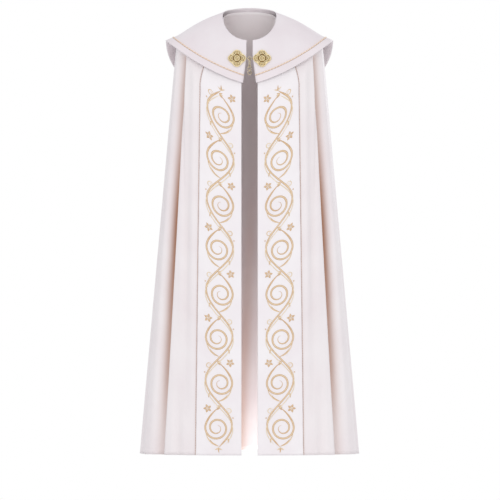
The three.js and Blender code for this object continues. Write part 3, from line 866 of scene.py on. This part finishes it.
def band_spot(band, across, down, lift):
    """A point over the band's face: "across" from its middle, "down" from the scroll's top."""
    points, normals, fall, widths = band
    rows, cols = fall.shape
    start = np.interp(-SCROLL_TOP_Z, -points[:, cols // 2, 2], fall[:, cols // 2])
    row = np.interp(down + start, fall[:, cols // 2], np.arange(rows))
    width = np.interp(row, np.arange(rows), widths)
    col = np.clip((across + width / 2) / width, 0, 1) * (cols - 1)
    r0, c0 = np.clip(row.astype(int), 0, rows - 2), np.clip(col.astype(int), 0, cols - 2)
    fr, fc = (row - r0)[:, None], (col - c0)[:, None]

    def blend(grid):
        above = mix(grid[r0, c0], grid[r0, c0 + 1], fc)
        return mix(above, mix(grid[r0 + 1, c0], grid[r0 + 1, c0 + 1], fc), fr)

    return blend(points) + blend(normals) * np.asarray(lift)[:, None]


def make_embroidery(side, word, materials):
    points, along, down, normals = band_face(side)
    band = (points, normals, down, along[:, -1])
    tubes = [stitched_ribbon(item, band, i % 7) for i, item in enumerate(scroll_strokes())]
    piece = join_tubes(f"scroll_embroidery_{word}", tubes, materials)
    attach(piece, "root")
    return piece


# ---- The collar ----
COLLAR_NECK = {"front": (91, -49), "side": (87, 36), "back": (68, 63)}
COLLAR_TURN = {"side": (240, -32.6), "back": (163, -104)}
COLLAR_HEM = {"front": (135, -194), "side": (272, -47), "back": (178, -236)}
COLLAR_SQUARENESS = {"neck": 2, "front": 2.32, "back": 2.2}
COLLAR_EASE = 26
COLLAR_FRONT_DIP = 1
COLLAR_SHOULDER_RISE = 12
COLLAR_HEM_ROUND = 0.34
RISE_PEAK = 0.4 * 0.6 ** 1.5
COLLAR_EDGE_X = {"top": 10, "bottom": 21, "straight_share": 0.4}
COLLAR_THICKNESS = 1.8
BORDER_WIDTH = 24.5
BORDER_LIFT = 0.3
BORDER_THICKNESS = 1.0
BRAID_RADIUS = 1.7
BRAID_FLAT = 0.8
COLLAR_COLUMNS = 110
COLLAR_ROWS = 60
BORDER_ROWS = 12


def collar_ring_point(turn, line, square, z):
    sin, cos = abs(math.sin(turn)), math.cos(turn)
    power = 2 / square
    reach = -line["front"][0] if cos >= 0 else line["back"][0]
    return np.array([line["side"][0] * sin ** power, reach * abs(cos) ** power, z])


def heights_of(line):
    return [line[k][1] for k in ("side", "front", "back")]


def collar_neck_point(turn):
    rise = -math.cos(turn)
    side, front, back = heights_of(COLLAR_NECK)
    if rise <= 0:
        z = mix(side, front, -rise) - COLLAR_FRONT_DIP * math.sin(2 * turn)
    else:
        z = mix(side, back, rise + 0.9 * rise * (1 - rise) ** 2)
    return collar_ring_point(turn, COLLAR_NECK, COLLAR_SQUARENESS["neck"], z)


def collar_hem_point(turn):
    sin, cos = math.sin(turn), math.cos(turn)
    side, front, back = heights_of(COLLAR_HEM)
    fall = mix(1 - sin, cos ** 2, COLLAR_HEM_ROUND)
    z = mix(side, front, fall) if cos >= 0 else mix(side, back, -cos)
    square = COLLAR_SQUARENESS["front" if cos >= 0 else "back"]
    return collar_ring_point(turn, COLLAR_HEM, square, z)


TURN_SHARE = ((COLLAR_TURN["side"][0] - COLLAR_NECK["side"][0])
              / (COLLAR_HEM["side"][0] - COLLAR_NECK["side"][0]))


def collar_turn_point(turn):
    cos = math.cos(turn)
    if cos >= 0:
        return mix(collar_neck_point(turn), collar_hem_point(turn), TURN_SHARE)
    z = mix(COLLAR_TURN["side"][1], COLLAR_TURN["back"][1], (cos ** 2 - cos) / 2)
    return collar_ring_point(turn, COLLAR_TURN, COLLAR_SQUARENESS["back"], z)


def collar_column(turn, shares):
    """Points down the collar at one turn about the neck, for shares 0 (neck) to 1 (lower edge)."""
    neck, corner, hem = collar_neck_point(turn), collar_turn_point(turn), collar_hem_point(turn)
    upper, lower = np.linalg.norm(corner - neck), np.linalg.norm(hem - corner)
    ease = min(COLLAR_EASE, lower * 0.9)
    start, end = mix(corner, neck, ease / upper), mix(corner, hem, ease / lower)
    points = []
    for down in np.asarray(shares) * (upper + lower):
        if down <= upper - ease:
            point = mix(neck, start, down / (upper - ease))
        elif down >= upper + ease:
            point = mix(end, hem, (down - upper - ease) / (lower - ease))
        else:
            t = (down - upper + ease) / (2 * ease)
            point = start * (1 - t) ** 2 + corner * 2 * t * (1 - t) + end * t * t
        shoulder = min(down / upper, 1)
        swell = shoulder * (1 - shoulder) ** 1.5 / RISE_PEAK
        point = point + np.array([0, 0, COLLAR_SHOULDER_RISE * swell * math.sin(turn) ** 4])
        points.append(point)
    return np.array(points)


def collar_edge_turn(share):
    """Where the collar's front edge lies at a share of the way down, as a turn about the neck."""
    straight = COLLAR_EDGE_X["straight_share"]
    lower = max(0, (share - straight) / (1 - straight))
    x = mix(COLLAR_EDGE_X["top"], COLLAR_EDGE_X["bottom"], lower)
    turn = 0.1
    for _ in range(12):
        turn *= x / collar_column(turn, [share])[0][0]
    return turn


def collar_length(turn):
    corner = collar_turn_point(turn)
    return (np.linalg.norm(corner - collar_neck_point(turn))
            + np.linalg.norm(collar_hem_point(turn) - corner))


def collar_half(top_at, bottom_at, rows):
    """The wearer's left half as a grid from the front edge to the middle of the back. "top_at" and
    "bottom_at" give a strip's shares down the collar at a turn about the neck."""
    edge_turns = [collar_edge_turn(s) for s in np.linspace(0, 1, 21)]
    grid = np.zeros((rows, COLLAR_COLUMNS, 3))
    down = np.zeros((rows, COLLAR_COLUMNS))
    for col, share in enumerate(np.linspace(0, 1, COLLAR_COLUMNS)):
        nominal = mix(edge_turns[-1], math.pi, share)
        shares = mix(top_at(nominal), bottom_at(nominal), np.linspace(0, 1, rows))
        for row, s in enumerate(shares):
            turn = mix(np.interp(s, np.linspace(0, 1, 21), edge_turns), math.pi, share)
            grid[row, col] = collar_column(turn, [s])[0]
            down[row, col] = s * collar_length(nominal)
    return grid, down


def whole_collar(top_at, bottom_at, rows):
    """Both halves side by side, from the right front edge round the back to the left front edge."""
    left, down = collar_half(top_at, bottom_at, rows)
    right = left * np.array([-1, 1, 1])
    grid = np.concatenate([right, left[:, -2::-1]], axis=1)
    down = np.concatenate([down, down[:, -2::-1]], axis=1)
    along = lengths_along(grid[rows // 2])
    uv = np.stack(np.broadcast_arrays(along[None, :], down), axis=-1)
    return grid, uv


def share_above(width):
    return lambda turn: 1 - width / collar_length(turn)


def make_collar(material):
    grid, uv = whole_collar(lambda t: 0, lambda t: 1, COLLAR_ROWS)
    normals = facing(grid, 1)
    piece = sheet_mesh("shoulder_collar", grid, uv, outward_of(grid, normals), [material])
    thicken(piece, COLLAR_THICKNESS)
    stand_for(piece, "collar")


def make_border(material):
    grid, uv = whole_collar(share_above(BORDER_WIDTH), lambda t: 1, BORDER_ROWS)
    normals = facing(grid, 1)
    row = np.arange(BORDER_ROWS)
    from_edge = np.minimum(row, BORDER_ROWS - 1 - row)[:, None] * BORDER_WIDTH / (BORDER_ROWS - 1)
    lift = BORDER_LIFT + BORDER_THICKNESS - 0.4 * np.exp(-(from_edge / 2) ** 2)
    face = grid + normals * lift[..., None]
    piece = sheet_mesh("collar_edge_strip", face, uv, outward_of(face, normals), [material])
    thicken(piece, BORDER_THICKNESS)
    stand_for(piece, "collar_border")


def make_collar_braid(material):
    grid, _ = whole_collar(share_above(BORDER_WIDTH + 2 * BRAID_RADIUS + 0.4),
                           share_above(BORDER_WIDTH), 3)
    normals = facing(grid, 1)[1]
    route = grid[1] + normals * (BRAID_RADIUS * BRAID_FLAT + SEAM_GAP)
    braid = sewn_cord(route, normals, BRAID_RADIUS, BRAID_FLAT)
    piece = join_tubes("collar_braid", [braid], [material])
    stand_for(piece, "collar_piping")


# ---- The clasp ----
PLATE_HALF = 30
WIRE = 0.85
WIRE_SIDES = 10
PLATE_WAIST = 0.79
PLATE_BACK = 1.0
PLATE_THICKNESS = 2.6
PLATE_EDGE_WIRE = 1.35
PLATE_SINK = 0.8
RING_REACH = 5.6
EYE_REACH = 3.4
BEAD = 2.1
CHAIN = rows_of(("node", "reach", "length", "turn", "body"), [
    ("chain_long_link", 3.4, 13, 1.05, "chain_top"),
    ("chain_joining_link_1", 3.4, 1.5, -0.6, "chain_end"),
    ("chain_ring_1", 5.8, 0, 0.15, "chain_end"),
    ("chain_joining_link_2", 3.2, 0, 1.4, "chain_end"),
    ("chain_ring_2", 5.8, 0, -0.1, "chain_end"),
])


def wire(route, radius, sides=8, closed=False, aside=(0, 0, 1)):
    """A round wire along a route in mm, as a grid for join_tubes. A closed one meets its start."""
    route = np.array(route, float)
    if closed:
        route = np.vstack([route, route[:1]])
    along = np.gradient(route, axis=0)
    if closed:
        along[0] = along[-1] = route[1] - route[-2]
    along = unit(along)
    first = unit(np.cross(along, np.broadcast_to(aside, along.shape)))
    grid, girth = rings_along(route, first, np.cross(first, along), radius, sides)
    return grid, np.stack(np.meshgrid(girth, np.arange(len(route)) * 1.0), axis=-1), 0


def bead(centre, radius):
    """A round grain, closed at both poles."""
    down = np.linspace(0, math.pi, 9)
    turn = np.linspace(0, 2 * math.pi, 13)
    girth = np.sin(down)[:, None]
    height = np.broadcast_to(np.cos(down)[:, None], (9, 13))
    ball = np.stack([girth * np.cos(turn)[None], girth * np.sin(turn)[None], height], axis=-1)
    uv = np.stack(np.meshgrid(turn * radius, down * radius), axis=-1)
    return np.array(centre) + radius * ball, uv, 0


def plate_outline(share, count=96, height=0.0):
    """The plate's outline, in its own plane, at a share of its size."""
    turn = np.linspace(0, 2 * math.pi, count, endpoint=False)
    reach = share * PLATE_HALF * mix(PLATE_WAIST, 1, np.cos(2 * turn) ** 2)
    return np.stack([reach * np.cos(turn), reach * np.sin(turn), np.full(count, height)], axis=-1)


def circle(centre, radius, height, count=28):
    turn = np.linspace(0, 2 * math.pi, count, endpoint=False)
    return np.stack([centre[0] + radius * np.cos(turn), centre[1] + radius * np.sin(turn),
                     np.full(count, height)], axis=-1)


def plate_backing():
    """The backing, as a domed disc to the outline: rows go from its middle to its edge."""
    shares = np.array([0.02, 0.25, 0.5, 0.75, 0.95, 0.97, 0.95, 0.5, 0.02])
    heights = np.array([1.0, 0.95, 0.85, 0.7, 0.5, 0.0, -0.4, -0.4, -0.4]) * PLATE_BACK
    rings = [plate_outline(share, height=height) for share, height in zip(shares, heights)]
    grid = np.array([np.vstack([ring, ring[:1]]) for ring in rings])
    # Material 1 is the dark gilt: painted shade showing in the gaps between the filigree.
    return grid, grid[..., :2].copy(), 1


def plate_tubes():
    """Filigree in the plate's own frame: +Z off the cloth, the tips along X and Y."""
    rise = PLATE_BACK * 0.9

    def hoop(middle, radius, lift, gauge):
        return wire(circle(middle, PLATE_HALF * radius, rise + lift), gauge, 8, True)

    tubes = [plate_backing(),
             wire(plate_outline(0.95, height=rise), PLATE_EDGE_WIRE, 8, True),
             hoop((0, 0), 0.3, 0.6, 1.1),
             hoop((0, 0), 0.17, 1.0, 0.9),
             bead((0, 0, rise + 1.4), BEAD * 1.5)]
    for i in range(8):
        angle = math.pi / 4 * i
        at = np.array([math.cos(angle), math.sin(angle)])
        across = np.array([-at[1], at[0]])
        petal = at * PLATE_HALF * 0.235
        tubes.append(bead((*petal, rise + 1.0), 1.5))
        if i % 2 == 0:
            lobe = at * PLATE_HALF * 0.68
            tubes.append(hoop(lobe, 0.185, 0.5, 1.1))
            tubes.append(bead((*lobe, rise + 0.9), BEAD * 1.5))
            for lean in (-1, 1):
                spiral = volute(at * PLATE_HALF * 0.5 + across * lean * PLATE_HALF * 0.27,
                                PLATE_HALF * 0.15, 1.1, angle + lean * 2.2, 1.3, -lean)
                path = np.column_stack([spiral, np.full(len(spiral), rise + 0.5)])
                tubes.append(wire(path[::3], 0.85, 6))
        else:
            side = at * PLATE_HALF * 0.56
            tubes.append(hoop(side, 0.13, 0.4, 0.9))
            tubes.append(bead((*side, rise + 0.6), 1.7))
    grains = plate_outline(0.86, 40, rise + 0.35)
    tubes += [bead(tuple(spot), 1.05) for spot in grains]
    return tubes


def make_plate(word, materials):
    """A plate in the middle of its CAD box, leaning back as the box shows."""
    low, high = node_box(f"clasp_plate_{word}")
    middle = (low + high) / 2
    lean = math.atan2(high[1] - low[1] - PLATE_THICKNESS, high[2] - low[2])
    right = np.array([1.0, 0, 0])
    out = np.array([0, -math.cos(lean), math.sin(lean)])
    up = np.cross(out, right)
    tubes = []
    for grid, uv, number in plate_tubes():
        placed = (middle + grid[..., :1] * right + grid[..., 1:2] * up
                  + (grid[..., 2:] - PLATE_SINK) * out)
        tubes.append((placed, uv, number))
    piece = join_tubes(f"filigree_plate_{word}", tubes, materials)
    stand_for(piece, f"clasp_plate_{word}")


def long_ring(centre, reach, length, turn):
    """An upright link: a ring drawn out by "length", turned about the upright axis."""
    angle = np.linspace(0, 2 * math.pi, 40, endpoint=False)
    flat, rise = reach * np.cos(angle), reach * np.sin(angle)
    rise = rise + np.sign(np.round(rise, 6)) * length / 2
    return centre + np.stack([flat * math.cos(turn), flat * math.sin(turn), rise], axis=-1)


def make_wire(node, tubes, material, body="root"):
    stand_for(join_tubes(f"{node}_wire", tubes, [material]), node, body)


def make_fastening(material):
    low, high = node_box("clasp_ring")
    ring_middle = (low + high) / 2
    ring = long_ring(ring_middle, RING_REACH, 0, 0)
    make_wire("clasp_ring", [wire(ring, WIRE, WIRE_SIDES, True, (0, 1, 0))], material)
    low, high = node_box("clasp_eye")
    eye = circle((0, 0), EYE_REACH, 0, 36) + (low + high) / 2
    make_wire("clasp_eye", [wire(eye, WIRE, WIRE_SIDES, True)], material)
    low, _ = node_box("clasp_hook")
    knots = [(low[0] - ring_middle[0] + WIRE * 0.2, 0), (-8.4, -1.9), (-5.4, -3), (-2.9, -1.9),
             (-2.6, 0.8), (-4.6, 2.9), (-7.2, 2.5)]
    route = smooth_route([ring_middle + np.array([x, y, 0]) for x, y in knots])
    make_wire("clasp_hook", [wire(route, WIRE, WIRE_SIDES)], material)
    for link in CHAIN:
        low, high = node_box(link["node"])
        route = long_ring((low + high) / 2, link["reach"], link["length"], link["turn"])
        aside = (math.sin(link["turn"]), -math.cos(link["turn"]), 0)
        tube = wire(route, WIRE, WIRE_SIDES, True, aside)
        make_wire(link["node"], [tube], material, link["body"])


def smooth_route(knots, steps=8):
    """A smooth curve through a few points."""
    knots = np.array(knots)
    ends = np.vstack([2 * knots[0] - knots[1], knots, 2 * knots[-1] - knots[-2]])
    route = []
    for i in range(len(knots) - 1):
        p0, p1, p2, p3 = ends[i:i + 4]
        for t in np.linspace(0, 1, steps, endpoint=i == len(knots) - 2):
            route.append(0.5 * (2 * p1 + (p2 - p0) * t + (2 * p0 - 5 * p1 + 4 * p2 - p3) * t * t
                                + (3 * p1 - p0 - 3 * p2 + p3) * t ** 3))
    return np.array(route)


# ---- Build ----
place_camera()
light_world()
light_studio()
lay_floor()
bpy.context.scene.view_settings.view_transform = "Standard"

# The fourth colour of each satin is its painted fold shade; only the cloak panels carry fold
# values, so only they show it.
cloak_satin = satin("cloak_satin", "f1ebeb", "ece3e4", "b58468", 0.5, 0.3, 0.5)
band_satin = satin("band_satin", "f4f0f1", "efe8ea", "d9b3a4", 0.42, 0.2, 0.35)
collar_satin = satin("collar_satin", "efe8ea", "e9dfe2", "d9b3a4", 0.5, 0.3, 0.4)
border_satin = satin("border_satin", "efe6e8", "e8dee1", "d9b3a4", 0.4, 0.2, 0.35)
# The rose cord's darker colour is in part its own and in part painted shadow of the seam it lies
# along.
cord_yarn = twisted_cord("rose_cord", "dcc7be", "c7aa9d", 3)
braid_yarn = twisted_cord("peach_braid", "f8e2cc", "e9c8a8", 4)

silks = [stitched_silk("tan_silk", "e0bf97", "d3ad84", 0.36),
         stitched_silk("peach_silk", "f0d9b6", "e6c8a0", 0.36),
         stitched_silk("cream_silk", "f4e4c8", "ecd7b4", 0.36)]

SIDES = (("right", -1), ("left", 1))
for word, side in SIDES:
    make_front(side, word, cloak_satin)
    make_band_cord(side, word, cord_yarn)
    embroidery = make_embroidery(side, word, silks)
    make_band(side, word, band_satin)
make_back(cloak_satin)
make_collar(collar_satin)
make_border(border_satin)
make_collar_braid(braid_yarn)

gilt = gilt_brass("gilt_brass", "fff4d2", "f4dca4", 0.4)
# The backing's dark brass is painted shade for the gaps of the openwork.
gilt_painted_shade = gilt_brass("gilt_backing_painted_shade", "9c7c48", "5a4524", 0.5)
pale_gilt = gilt_brass("pale_gilt_wire", "e6dab4", "c2b184", 0.25)
for word, _ in SIDES:
    make_plate(word, [gilt, gilt_painted_shade])
make_fastening(pale_gilt)
